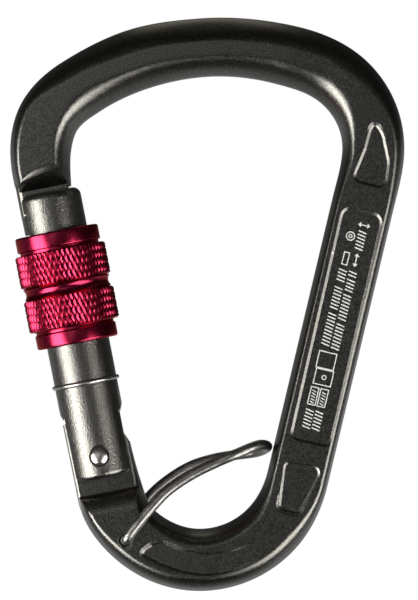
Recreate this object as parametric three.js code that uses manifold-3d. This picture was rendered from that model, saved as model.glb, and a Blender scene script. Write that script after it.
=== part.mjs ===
// Locking carabiner: a forged bow-shaped frame, a gate that swings on a rivet against a spring and plunger,
// a screw sleeve that travels on the gate's thread, and a sprung wire keeper across the basket.
//
// Millimetres, +Z up. The carabiner lies in the XZ plane with its front face toward -Y.
// The origin is the seat at the top of the bow, where the frame hangs on a rope or an anchor.
// "Gate axes" are the gate's own: u across the gate toward the opening, w up along the gate from the rivet.

import * as THREE from 'three';
import { mergeVertices } from 'three/addons/utils/BufferGeometryUtils.js';
import Module from 'manifold-3d';

const wasm = await Module();
wasm.setup();

// ---------------------------------------------------------------- driving dimensions

const CLEAR = 0.3; // play between pieces that touch or turn on each other
const REACH = 12; // how far a cutter runs past what it cuts
const OVERLAP = 0.4; // how far an added ridge is sunk into what it stands on

// Stations along the forged bar, from the nose end over the bow and down the spine to the tang.
// outer and inner are a point of each edge and the edge's heading there: [x, z, degrees].
// half is half the bar's thickness. round is how far the rounding reaches in from the outer edge and
// from the inner edge, and how far it reaches down the sides.
const BAR = [
  { outer: [-38.9, -30.7, 101.1], inner: [-29.0, -28.8, 101.1], half: 5.8, round: [1.6, 3.2, 3.6] },
  { outer: [-41.3, -19.4, 101], inner: [-30.1, -18.8, 93], half: 5.8, round: [1.6, 3.6, 3.9] },
  { outer: [-40.4, -6.5, 68], inner: [-29.2, -11.0, 68], half: 5.9, round: [2.4, 3.6, 4.2] },
  { outer: [-31.6, 3.1, 32], inner: [-24.9, -6.9, 34], half: 6.0, round: [4.0, 3.2, 4.8] },
  { outer: [-20.5, 8.7, 20], inner: [-16.4, -2.6, 20], half: 6.0, round: [5.2, 2.8, 5.0] },
  { outer: [-4.7, 11.5, 4], inner: [-3.9, 0.1, 4], half: 6.0, round: [5.8, 2.4, 5.2] },
  { outer: [12.9, 10.1, -12], inner: [9.8, -1.3, -15], half: 6.0, round: [5.8, 3.0, 5.2] },
  { outer: [24.4, 5.5, -34], inner: [17.5, -4.3, -35], half: 5.6, round: [5.0, 4.1, 4.8] },
  { outer: [34.5, -15.3, -94], inner: [22.5, -14.4, -94], half: 5.3, round: [2.6, 2.2, 3.6] },
  { outer: [32.3, -26.2, -103.4], inner: [20.6, -23.4, -103.4], half: 5.3, round: [1.9, 1.0, 3.4] },
  { outer: [19.7, -79.0, -103.4], inner: [8.1, -76.1, -103.4], half: 5.3, round: [1.9, 1.0, 3.4] },
  { outer: [13.0, -91.8, -134], inner: [4.3, -83.4, -134], half: 5.6, round: [2.8, 2.4, 4.2] },
  { outer: [-4.3, -99.5, -178], inner: [-4.7, -87.4, -178], half: 5.8, round: [3.0, 3.0, 4.4] },
  { outer: [-21.1, -93.6, -220], inner: [-13.4, -84.2, -219], half: 5.8, round: [2.8, 3.0, 4.2] },
  { outer: [-28.7, -81.8, -259], inner: [-16.6, -77.8, -252], half: 5.8, round: [2.6, 2.6, 3.6] },
  { outer: [-32.2, -64.5, -258.9], inner: [-20.3, -62.2, -258.9], half: 5.8, round: [2.6, 2.6, 3.6] },
];
const BAR_STEPS = 5; // lofted sections between two stations
const CORNER_STEPS = 3; // facets of each rounded corner

const RIVET = { x: -24.4, z: -73.2, shaft: 1.5, hole: 1.7, recess: 2.0, recessDepth: 0.9 };
// Outline of each head, as [radius, height over its seat].
const RIVET_DOME = [[1.8, 0], [1.8, 0.45], [1.4, 0.75], [0.75, 0.92], [0, 0.97]];
const GATE_TILT = THREE.MathUtils.degToRad(11.1); // the gate leans out at the top

const GATE = { radius: 6.1, bottom: -4.2, top: 52.0, shoulder: 1.5, chamfer: 0.35 };
const TANG_SLOT = { end: 7.6, flat: 5.4, flareEnd: 9.4, flare: 6.2 }; // its end flares up toward both sides
const BLADE = 5.0; // thickness of the tang and of the nose, which both run in slots of the gate
const SLOT = BLADE + 2 * CLEAR;

const NOSE = { end: 45.0, neck: 48.2, inner: 4.0, headHalf: 3.2, headInner: 3.0, cutFrom: 42.0 };
const NOSE_FLOOR_GAP = 0.8; // the nose swings down a little as the gate leaves it
const NECK_TOP = 53.8; // the nose's blade meets the slope of the upper scoop here
const NECK_SLOPE = 3.6; // length of that slope up to the full thickness

const CHEEK_BOTTOM = -7.1; // the flat cheeks beside the tang end here
const CHEEK_RISE = 4.4; // length of the rounded shoulder below them

const CAM = { start: 5.0, lift: 3.0, from: -18, to: 38, step: 7 }; // radius in mm, mm per radian, degrees
const TANG_CORNERS = { outer: [-6.0, 7.2], inner: [6.1, 1.6] }; // [u, w]

const BORE = { radius: 2.7, end: 38.0 };
const PLUNGER = { radius: 2.35, tip: 1.5, length: 9.6 };
const SPRING = { radius: 1.95, wire: 0.32, coils: 8, gap: 0.25, stepsPerCoil: 12 };

const THREAD = { from: 22.8, to: 44.1, root: 5.5, pitch: 2.0, crest: 0.4, base: 1.05, facets: 18, ease: 0.5 };
const NUT = { from: 29.9, turns: 1.2, crestRadius: 5.9, crest: 0.35, base: 1.0 };

const SLEEVE = { bottom: 22.2, top: 44.2, bore: 6.45, relief: 6.75, reliefEnd: 2.5 };
const SLEEVE_BANDS = { collarLow: 7.95, knurl: 8.85, waist: 8.25, collarHigh: 8.15, chamfer: 0.4 };
const SLEEVE_STEPS = {
  low: 24.9, knurlLow: 25.6, waistLow: 31.9, waistHigh: 34.3, knurlHigh: 40.7, high: 41.3,
};

const RING = { at: 14.4, radius: 6.2, wire: 0.42, gapDegrees: 16 };
const RING_GROOVE = 0.75; // radius of the groove that the ring lies in

const KEEPER = { wire: 1.0, hole: 1.35, x: -19.5, z: -89.4, holeFloor: 1.0, stub: 1.5 };
const KEEPER_Y = 7.1; // centre of each leg, just clear of the basket's faces
// Points along the front leg, as [x, z, height of the back leg above it at the same x].
const KEEPER_LEGS = [
  [-17.6, -86.9, 1.6], [-15.0, -83.75, 2.2], [-11.5, -80.0, 1.6],
  [-6.8, -76.75, 1.2], [-2.0, -74.35, 0.3], [1.9, -72.7, -0.7],
];
const KEEPER_TIP = { shoulderX: 6.1, frontZ: -71.1, backZ: -72.7, shoulderY: 5.0, x: 7.8, z: -71.5 };

// Recesses in both faces of the frame, as [x, z, corner radius].
const POCKETS = {
  shoulder: [
    [28.4, -7.3, 0.9], [30.4, -11.2, 4], [31.8, -16.6, 5],
    [31.0, -21.9, 1.1], [24.2, -20.1, 0.9], [26.6, -13.6, 6],
  ],
  panel: [[22.6, -25.0, 1.3], [30.2, -26.9, 1.3], [19.9, -71.5, 1.3], [12.4, -69.6, 1.3]],
  heel: [[11.9, -74.6, 0.9], [18.6, -75.6, 1.3], [14.3, -84.5, 0.9], [10.2, -83.4, 0.9]],
  basket: [
    [-12.3, -89.8, 0.9], [-8.2, -91.3, 6], [-3.6, -92.0, 9], [1.6, -91.2, 6], [7.4, -88.6, 0.8],
    [10.0, -90.0, 0.8], [5.4, -93.4, 6], [0.6, -95.4, 9], [-3.8, -96.1, 9], [-8.4, -95.5, 9],
    [-12.6, -94.0, 6], [-16.7, -91.9, 0.9], [-14.3, -90.2, 0.9],
  ],
};
const POCKET_FACES = { shoulder: 5.5, panel: 5.3, heel: 5.4, basket: 5.8 }; // the land's height beside each
const POCKET_DEPTH = 0.6;
const POCKET_CORNER_STEPS = 5;

const colour = { frame: 0x3b3d3b, gate: 0x77776f, steel: 0xc9c8c6, sleeve: 0xb00d35, spring: 0x9a9a98 };

// ---------------------------------------------------------------- helpers

const heading = (degrees) =>
  new THREE.Vector2(Math.cos(THREE.MathUtils.degToRad(degrees)), Math.sin(THREE.MathUtils.degToRad(degrees)));

// A smooth edge through two [x, z, degrees] stations: the cubic that follows an arc that turns as much.
function edge([x0, z0, a0], [x1, z1, a1]) {
  const start = new THREE.Vector2(x0, z0);
  const end = new THREE.Vector2(x1, z1);
  const turn = THREE.MathUtils.degToRad(a1 - a0);
  const reach = start.distanceTo(end) / (3 * Math.cos(turn / 4) ** 2);
  const first = start.clone().addScaledVector(heading(a0), reach);
  const second = end.clone().addScaledVector(heading(a1), -reach);
  return new THREE.CubicBezierCurve(start, first, second, end);
}

function withoutExtras(geometry) {
  const plain = geometry.index ? geometry.toNonIndexed() : geometry.clone();
  plain.deleteAttribute('normal');
  plain.deleteAttribute('uv');
  return mergeVertices(plain, 1e-4);
}

function signedVolume(geometry) {
  const p = geometry.attributes.position;
  const corner = [new THREE.Vector3(), new THREE.Vector3(), new THREE.Vector3()];
  let volume = 0;
  for (let i = 0; i < geometry.index.count; i += 3) {
    corner.forEach((v, k) => v.fromBufferAttribute(p, geometry.index.getX(i + k)));
    volume += corner[0].dot(corner[1].cross(corner[2])) / 6;
  }
  return volume;
}

// A closed geometry with merged vertices and its faces pointing out.
function closed(geometry) {
  const merged = withoutExtras(geometry);
  if (signedVolume(merged) < 0) merged.index.array.reverse();
  return merged;
}

function solid(geometry) {
  const merged = closed(geometry);
  const vertProperties = new Float32Array(merged.attributes.position.array);
  const triVerts = new Uint32Array(merged.index.array);
  return new wasm.Manifold(new wasm.Mesh({ numProp: 3, vertProperties, triVerts }));
}

function surface(manifold) {
  const mesh = manifold.getMesh();
  const geometry = new THREE.BufferGeometry();
  geometry.setAttribute('position', new THREE.BufferAttribute(mesh.vertProperties, 3));
  geometry.setIndex(new THREE.BufferAttribute(mesh.triVerts, 1));
  geometry.computeVertexNormals();
  return geometry;
}

// Rings of points, all of the same length, skinned into one closed body with flat ends.
function skin(rings) {
  const n = rings[0].length;
  const points = rings.flat();
  const index = [];
  for (let r = 0; r + 1 < rings.length; r++) {
    for (let k = 0; k < n; k++) {
      const [a, b] = [r * n + k, r * n + ((k + 1) % n)];
      index.push(a, b, b + n, a, b + n, a + n);
    }
  }
  const last = (rings.length - 1) * n;
  for (let k = 1; k + 1 < n; k++) {
    index.push(0, k + 1, k, last, last + k, last + k + 1);
  }
  const geometry = new THREE.BufferGeometry().setFromPoints(points);
  geometry.setIndex(index);
  return geometry;
}

// A profile of [radius, height] points turned about the Z axis.
function turned(profile, segments = 32) {
  const points = profile.map(([r, h]) => new THREE.Vector2(r, h));
  return new THREE.LatheGeometry(points, segments).rotateX(Math.PI / 2);
}

function pin(radius, low, high, segments = 24) {
  return turned([[0, low], [radius, low], [radius, high], [0, high]], segments);
}

// An outline of [x, z] points, or a Shape, extruded along Y between two depths.
function slab(outline, front, back, curveSegments = 6) {
  const isShape = outline instanceof THREE.Shape;
  const shape = isShape ? outline : new THREE.Shape(outline.map((p) => new THREE.Vector2(...p)));
  const options = { depth: back - front, bevelEnabled: false, curveSegments };
  const geometry = new THREE.ExtrudeGeometry(shape, options);
  return geometry.rotateX(Math.PI / 2).translate(0, back, 0);
}

// An outline of [y, w] points extruded across the gate, between two values of u.
function bar(outline, from, to) {
  const shape = new THREE.Shape(outline.map((p) => new THREE.Vector2(...p)));
  const geometry = new THREE.ExtrudeGeometry(shape, { depth: to - from, bevelEnabled: false });
  const axes = new THREE.Matrix4().makeBasis(
    new THREE.Vector3(0, 1, 0), new THREE.Vector3(0, 0, 1), new THREE.Vector3(1, 0, 0));
  return geometry.applyMatrix4(axes).translate(from, 0, 0);
}

const box = (x0, x1, y0, y1, z0, z1) =>
  new THREE.BoxGeometry(x1 - x0, y1 - y0, z1 - z0).translate((x0 + x1) / 2, (y0 + y1) / 2, (z0 + z1) / 2);

const gateMatrix = new THREE.Matrix4()
  .makeRotationY(-GATE_TILT)
  .setPosition(RIVET.x, 0, RIVET.z);

const onGate = (geometry) => geometry.applyMatrix4(gateMatrix);

const mirrored = (outline) => outline.map(([y, w]) => [-y, w]);

// Cuts a list of geometries out of a manifold, one after another.
const cut = (body, tools) => tools.reduce((rest, tool) => rest.subtract(solid(tool)), body);

// ---------------------------------------------------------------- frame

// One closed section of the bar between an outer and an inner point.
function barSection(outer, inner, half, [roundOut, roundIn, drop]) {
  const across = inner.clone().sub(outer);
  const width = across.length();
  across.normalize();
  const at = (a, y) => new THREE.Vector3(outer.x + across.x * a, y, outer.y + across.y * a);
  const corner = (centre, reach, side, face) => {
    const points = [];
    for (let k = 0; k <= CORNER_STEPS; k++) {
      const angle = (k / CORNER_STEPS) * (Math.PI / 2);
      const a = centre + side * reach * Math.cos(angle);
      points.push(at(a, face * (half - drop + drop * Math.sin(angle))));
    }
    return points;
  };
  const [low, high] = [roundOut, width - roundIn];
  return [
    ...corner(low, roundOut, -1, -1),
    ...corner(high, roundIn, 1, -1).reverse(),
    ...corner(high, roundIn, 1, 1),
    ...corner(low, roundOut, -1, 1).reverse(),
  ];
}

function forgedBar() {
  const rings = [];
  const ease = (t) => t * t * (3 - 2 * t);
  for (let i = 0; i + 1 < BAR.length; i++) {
    const [a, b] = [BAR[i], BAR[i + 1]];
    const [outer, inner] = [edge(a.outer, b.outer), edge(a.inner, b.inner)];
    const steps = i + 2 < BAR.length ? BAR_STEPS : BAR_STEPS + 1;
    for (let k = 0; k < steps; k++) {
      const t = k / BAR_STEPS;
      const half = THREE.MathUtils.lerp(a.half, b.half, ease(t));
      const round = a.round.map((r, n) => THREE.MathUtils.lerp(r, b.round[n], ease(t)));
      rings.push(barSection(outer.getPoint(t), inner.getPoint(t), half, round));
    }
  }
  return skin(rings);
}

// A rounded outline through [x, z, radius] corners.
function roundedOutline(corners) {
  const shape = new THREE.Shape();
  const n = corners.length;
  corners.forEach(([x, z, radius], i) => {
    const here = new THREE.Vector2(x, z);
    const before = new THREE.Vector2(...corners[(i + n - 1) % n].slice(0, 2)).sub(here).normalize();
    const after = new THREE.Vector2(...corners[(i + 1) % n].slice(0, 2)).sub(here).normalize();
    const halfAngle = before.angleTo(after) / 2;
    const reach = radius / Math.tan(halfAngle);
    const enter = here.clone().addScaledVector(before, reach);
    const leave = here.clone().addScaledVector(after, reach);
    if (i === 0) shape.moveTo(enter.x, enter.y);
    else shape.lineTo(enter.x, enter.y);
    shape.quadraticCurveTo(x, z, leave.x, leave.y);
  });
  shape.closePath();
  return shape;
}

function pocketTools() {
  return Object.entries(POCKETS).flatMap(([name, corners]) => {
    const floor = POCKET_FACES[name] - POCKET_DEPTH;
    return [
      slab(roundedOutline(corners), -REACH, -floor, POCKET_CORNER_STEPS),
      slab(roundedOutline(corners), floor, REACH, POCKET_CORNER_STEPS),
    ];
  });
}

// The flat cheeks beside the tang and the rounded shoulder below them, on the front (-1) or the back (1).
function cheekTool(face) {
  const inside = BLADE / 2;
  const full = BAR[0].half;
  const outline = [[inside, REACH], [inside, CHEEK_BOTTOM]];
  for (let k = 1; k <= 4; k++) {
    const angle = (k / 4) * (Math.PI / 2);
    const y = inside + (full - inside) * Math.sin(angle);
    outline.push([y, CHEEK_BOTTOM - CHEEK_RISE * (1 - Math.cos(angle))]);
  }
  outline.push([REACH, CHEEK_BOTTOM - CHEEK_RISE], [REACH, REACH]);
  return onGate(bar(face < 0 ? mirrored(outline) : outline, -REACH, REACH));
}

// The scoop above the nose's neck, and the T of the nose that hooks into the gate.
function neckTool(face) {
  const inside = BLADE / 2;
  const slope = NECK_SLOPE / (BAR[0].half - inside);
  const outline = [
    [NOSE.headHalf, NOSE.cutFrom], [NOSE.headHalf, NOSE.neck], [inside, NOSE.neck], [inside, NECK_TOP],
    [REACH, NECK_TOP + slope * (REACH - inside)], [REACH, NOSE.cutFrom],
  ];
  return onGate(bar(face < 0 ? mirrored(outline) : outline, -REACH, REACH));
}

// Turns the nose down to the gate's own radius, so that the sleeve screws up over both.
function noseRoundTool() {
  const [low, high] = [NOSE.cutFrom, NECK_TOP + CLEAR];
  const [inside, outside] = [GATE.radius, GATE.radius + REACH];
  return onGate(turned([[inside, low], [outside, low], [outside, high], [inside, high], [inside, low]]));
}

// Trims the T's ends in from the bore wall, so that only the blade reaches the inner side.
function noseInnerTool(face) {
  const inside = BLADE / 2;
  const [y0, y1] = face < 0 ? [-REACH, -inside] : [inside, REACH];
  return onGate(box(NOSE.headInner, REACH, y0, y1, NOSE.cutFrom, NOSE.neck));
}

// What is cut away above the tang: its top is a cam that lifts the plunger as the gate opens.
function tangTopTool() {
  const { outer, inner } = TANG_CORNERS;
  const outline = [[-REACH, REACH], [-REACH, outer[1]], outer];
  for (let angle = CAM.from; angle <= CAM.to; angle += CAM.step) {
    const radius = CAM.start + CAM.lift * THREE.MathUtils.degToRad(Math.max(angle, 0));
    const turn = THREE.MathUtils.degToRad(angle);
    outline.push([radius * Math.sin(turn), radius * Math.cos(turn)]);
  }
  outline.push(inner, [REACH, inner[1]], [REACH, REACH]);
  return onGate(slab(outline.reverse(), -REACH, REACH));
}

function keeperHole(face) {
  const hole = pin(KEEPER.hole, KEEPER.holeFloor, REACH).rotateX(face < 0 ? Math.PI / 2 : -Math.PI / 2);
  return hole.translate(KEEPER.x, 0, KEEPER.z);
}

function frame() {
  const rivetHole = onGate(pin(RIVET.hole, -REACH, REACH).rotateX(Math.PI / 2));
  const noseEnd = onGate(box(-REACH, REACH, -REACH, REACH, NOSE.cutFrom - 1, NOSE.end));
  const noseSide = onGate(box(NOSE.inner, REACH, -REACH, REACH, NOSE.cutFrom, GATE.top + CLEAR));
  return cut(solid(forgedBar()), [
    ...[-1, 1].flatMap((face) => [cheekTool(face), neckTool(face), noseInnerTool(face), keeperHole(face)]),
    tangTopTool(), rivetHole, noseRoundTool(), noseEnd, noseSide,
    ...pocketTools(),
  ]);
}

// ---------------------------------------------------------------- gate

// A ridge of trapezoid section wound about the Z axis; in its profile r is the radius and h the height.
function helicalRidge(profile, pitch, low, turns, stepsPerTurn = THREAD.facets) {
  const rings = [];
  const steps = Math.round(turns * stepsPerTurn);
  for (let k = 0; k <= steps; k++) {
    const angle = (k / stepsPerTurn) * 2 * Math.PI;
    const lift = low + (pitch * k) / stepsPerTurn;
    const [cos, sin] = [Math.cos(angle), Math.sin(angle)];
    rings.push(profile.map(([r, h]) => new THREE.Vector3(r * cos, r * sin, lift + h)));
  }
  return skin(rings);
}

function gateBlank() {
  const { radius, bottom, top, shoulder, chamfer } = GATE;
  const profile = [[0, bottom], [radius - chamfer, bottom], [radius, bottom + chamfer]];
  profile.push([radius, THREAD.from], [THREAD.root, THREAD.from + THREAD.ease]);
  profile.push([THREAD.root, THREAD.to - THREAD.ease], [radius, THREAD.to]);
  for (let k = 0; k <= 4; k++) {
    const angle = (k / 4) * (Math.PI / 2);
    profile.push([radius - shoulder * (1 - Math.cos(angle)), top - shoulder * (1 - Math.sin(angle))]);
  }
  profile.push([0, top]);
  return turned(profile, 32);
}

const threadStart = THREAD.from + THREAD.ease;

function gateThread() {
  const { root, crest, base, pitch, to, ease } = THREAD;
  const quarterTurns = Math.floor(4 * (to - ease - base - threadStart) / pitch);
  const foot = root - OVERLAP;
  const profile = [
    [foot, 0], [foot, base], [GATE.radius, (base + crest) / 2], [GATE.radius, (base - crest) / 2],
  ];
  return helicalRidge(profile, pitch, threadStart, quarterTurns / 4);
}

function ringGroove() {
  const profile = [];
  for (let k = 0; k <= 8; k++) {
    const angle = (k / 8) * 2 * Math.PI;
    profile.push([RING.radius + RING_GROOVE * Math.cos(angle), RING.at + RING_GROOVE * Math.sin(angle)]);
  }
  return turned(profile, 36);
}

function tangSlotOutline() {
  const { end, flat, flareEnd, flare } = TANG_SLOT;
  return [
    [-REACH, GATE.bottom - 1], [REACH, GATE.bottom - 1], [REACH, flareEnd], [flare, flareEnd],
    [flat, end], [-flat, end], [-flare, flareEnd], [-REACH, flareEnd],
  ];
}

function gateTube() {
  const half = SLOT / 2;
  const slotFloor = NOSE.end - NOSE_FLOOR_GAP;
  const head = NOSE.headHalf + CLEAR;
  const recess = (face) => {
    const floor = GATE.radius - RIVET.recessDepth;
    return pin(RIVET.recess, floor, REACH).rotateX(face * Math.PI / 2);
  };
  return cut(solid(gateBlank()).add(solid(gateThread())), [
    slab(tangSlotOutline(), -half, half),
    pin(BORE.radius, TANG_SLOT.end - 1, BORE.end),
    box(-REACH, NOSE.inner + CLEAR, -half, half, slotFloor, GATE.top + 1),
    box(-REACH, NOSE.headInner + CLEAR, -head, head, slotFloor, NOSE.neck + CLEAR),
    pin(RIVET.hole, -REACH, REACH).rotateX(Math.PI / 2),
    recess(-1), recess(1),
    ringGroove(),
  ]);
}

function gateRivet() {
  const seat = GATE.radius - RIVET.recessDepth + CLEAR;
  const dome = [[RIVET.shaft, seat], ...RIVET_DOME.map(([r, h]) => [r, seat + h])];
  const profile = [...dome.map(([r, h]) => [r, -h]).reverse(), ...dome];
  return turned(profile, 24).rotateX(Math.PI / 2);
}

// ---------------------------------------------------------------- plunger and spring in the gate's bore

const plungerTip = CAM.start + CLEAR;
const plungerTop = plungerTip + PLUNGER.length;

function gatePlunger() {
  const { radius, tip } = PLUNGER;
  const profile = [];
  for (let k = 0; k <= 4; k++) {
    const angle = (k / 4) * (Math.PI / 2);
    profile.push([tip * Math.sin(angle), plungerTip + tip * (1 - Math.cos(angle))]);
  }
  profile.push([radius, plungerTip + tip + 1.2], [radius, plungerTop], [0, plungerTop]);
  return turned(profile, 20);
}

class Helix extends THREE.Curve {
  constructor(radius, low, high, turns) {
    super();
    Object.assign(this, { radius, low, high, turns });
  }

  getPoint(t, target = new THREE.Vector3()) {
    const angle = t * this.turns * 2 * Math.PI;
    const height = THREE.MathUtils.lerp(this.low, this.high, t);
    return target.set(this.radius * Math.cos(angle), this.radius * Math.sin(angle), height);
  }
}

// A round wire along a curve.
function wire(path, radius, sides, steps) {
  const section = new THREE.Shape();
  for (let k = 0; k < sides; k++) {
    const angle = (k / sides) * 2 * Math.PI;
    const [x, y] = [radius * Math.cos(angle), radius * Math.sin(angle)];
    if (k) section.lineTo(x, y);
    else section.moveTo(x, y);
  }
  section.closePath();
  return new THREE.ExtrudeGeometry(section, { steps, extrudePath: path, curveSegments: 1 });
}

function gateSpring() {
  const low = plungerTop + SPRING.wire + SPRING.gap;
  const high = BORE.end - SPRING.wire - SPRING.gap;
  const { radius, coils, stepsPerCoil } = SPRING;
  return wire(new Helix(radius, low, high, coils), SPRING.wire, 5, coils * stepsPerCoil);
}

// ---------------------------------------------------------------- sleeve and stop ring

function sleeveBlank() {
  const { bottom, top, bore, relief, reliefEnd } = SLEEVE;
  const { collarLow, knurl, waist, collarHigh, chamfer } = SLEEVE_BANDS;
  const { low, knurlLow, waistLow, waistHigh, knurlHigh, high } = SLEEVE_STEPS;
  const outside = [
    [bore, bottom], [collarLow - chamfer, bottom], [collarLow, bottom + chamfer], [collarLow, low],
    [knurl, knurlLow], [knurl, waistLow - 0.3], [waist, waistLow], [waist, waistHigh],
    [knurl, waistHigh + 0.3], [knurl, knurlHigh], [collarHigh, high],
    [collarHigh, top - chamfer], [collarHigh - chamfer, top],
  ];
  const inside = [[bore, top], [bore, top - reliefEnd], [relief, top - reliefEnd - 0.3],
    [relief, bottom + reliefEnd + 0.3], [bore, bottom + reliefEnd]];
  return turned([...outside, ...inside, outside[0]], 40);
}

function lockSleeve() {
  const { from, turns, crestRadius, crest, base } = NUT;
  const reach = SLEEVE.relief + OVERLAP;
  // The nut's ridge runs in the gap of the gate's thread, half a pitch above it.
  const phase = ((from - threadStart) / THREAD.pitch) % 1;
  const middle = THREAD.base / 2 + THREAD.pitch / 2 - phase * THREAD.pitch;
  const profile = [
    [reach, middle - base / 2], [crestRadius, middle - crest / 2],
    [crestRadius, middle + crest / 2], [reach, middle + base / 2],
  ];
  return solid(sleeveBlank()).add(solid(helicalRidge(profile, THREAD.pitch, from, turns)));
}

class Arc extends THREE.Curve {
  constructor(radius, height, degrees) {
    super();
    Object.assign(this, { radius, height, span: THREE.MathUtils.degToRad(degrees) });
  }

  getPoint(t, target = new THREE.Vector3()) {
    const angle = Math.PI / 2 + (t - 0.5) * this.span + Math.PI;
    return target.set(this.radius * Math.cos(angle), this.radius * Math.sin(angle), this.height);
  }
}

// An open snap ring, its gap at the back of the gate.
const stopRing = () => wire(new Arc(RING.radius, RING.at, 360 - RING.gapDegrees), RING.wire, 6, 36);

// ---------------------------------------------------------------- wire keeper

// One bent wire: a stub in the front hole, the front leg, the flat loop at the spine, and back again behind.
function keeperPath() {
  const { x, z, stub } = KEEPER;
  const y = KEEPER_Y;
  const front = KEEPER_LEGS.map(([px, pz]) => new THREE.Vector3(px, -y, pz));
  const back = KEEPER_LEGS.map(([px, pz, rise]) => new THREE.Vector3(px, y, pz + rise)).reverse();
  const entry = (side) => [
    new THREE.Vector3(x, side * stub, z), new THREE.Vector3(x, side * (y - 2.4), z),
    new THREE.Vector3(x + 0.35, side * (y - 0.45), z + 0.35)];
  const tip = [
    new THREE.Vector3(KEEPER_TIP.shoulderX, -KEEPER_TIP.shoulderY, KEEPER_TIP.frontZ),
    new THREE.Vector3(KEEPER_TIP.x, 0, KEEPER_TIP.z),
    new THREE.Vector3(KEEPER_TIP.shoulderX, KEEPER_TIP.shoulderY, KEEPER_TIP.backZ)];
  const points = [...entry(-1), ...front, ...tip, ...back, ...entry(1).reverse()];
  return new THREE.CatmullRomCurve3(points, false, 'centripetal');
}

const keeperWire = () => wire(keeperPath(), KEEPER.wire, 8, 72);

// ---------------------------------------------------------------- assembly

function mesh(name, shape, tint, roughness, metalness) {
  const geometry = shape instanceof THREE.BufferGeometry ? closed(shape) : surface(shape);
  const material = new THREE.MeshStandardMaterial({ color: tint, roughness, metalness });
  const piece = new THREE.Mesh(geometry, material);
  piece.name = name;
  return piece;
}

const gate = new THREE.Group();
gate.position.set(RIVET.x, 0, RIVET.z);
gate.rotation.y = -GATE_TILT;
gate.add(
  mesh('gate_tube', gateTube(), colour.gate, 0.42, 0.9),
  mesh('gate_rivet', gateRivet(), colour.steel, 0.15, 1.0),
  mesh('gate_plunger', gatePlunger(), colour.steel, 0.3, 1.0),
  mesh('gate_spring', gateSpring(), colour.spring, 0.35, 1.0),
  mesh('lock_sleeve', lockSleeve(), colour.sleeve, 0.35, 0.9),
  mesh('stop_ring', stopRing(), colour.steel, 0.25, 1.0),
);

const carabiner = new THREE.Group();
carabiner.add(
  mesh('frame', frame(), colour.frame, 0.5, 0.85),
  mesh('keeper_wire', keeperWire(), colour.steel, 0.2, 1.0),
  gate,
);

export default carabiner;
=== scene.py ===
"""The look of the locking carabiner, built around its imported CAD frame.

Shapes are worked out in millimetres and turned into metres in new_object(). The carabiner lies in
the XZ plane with its front toward -Y. Gate axes are (u, y, w): u across the gate toward the opening,
w up along the gate from the rivet.
"""

import math

import bpy
import bmesh
import numpy as np
from mathutils import Matrix, Vector


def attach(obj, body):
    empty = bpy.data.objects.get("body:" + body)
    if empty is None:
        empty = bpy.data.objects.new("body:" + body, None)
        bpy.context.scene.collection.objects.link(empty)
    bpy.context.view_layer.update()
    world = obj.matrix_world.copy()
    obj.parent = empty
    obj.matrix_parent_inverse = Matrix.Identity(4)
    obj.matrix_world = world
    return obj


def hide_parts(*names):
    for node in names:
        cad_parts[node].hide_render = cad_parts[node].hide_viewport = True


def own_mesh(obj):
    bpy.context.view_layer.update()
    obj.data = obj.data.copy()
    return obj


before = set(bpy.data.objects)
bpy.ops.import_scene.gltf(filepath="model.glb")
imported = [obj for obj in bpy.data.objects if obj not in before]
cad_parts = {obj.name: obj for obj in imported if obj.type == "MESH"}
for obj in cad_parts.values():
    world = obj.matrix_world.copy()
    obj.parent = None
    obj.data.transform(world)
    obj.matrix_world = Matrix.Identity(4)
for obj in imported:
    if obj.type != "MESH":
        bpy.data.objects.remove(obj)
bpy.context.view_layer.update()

MM = 0.001
CLEAR = 0.3

# ---------------------------------------------------------------- dimensions, as in the part's source

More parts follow.
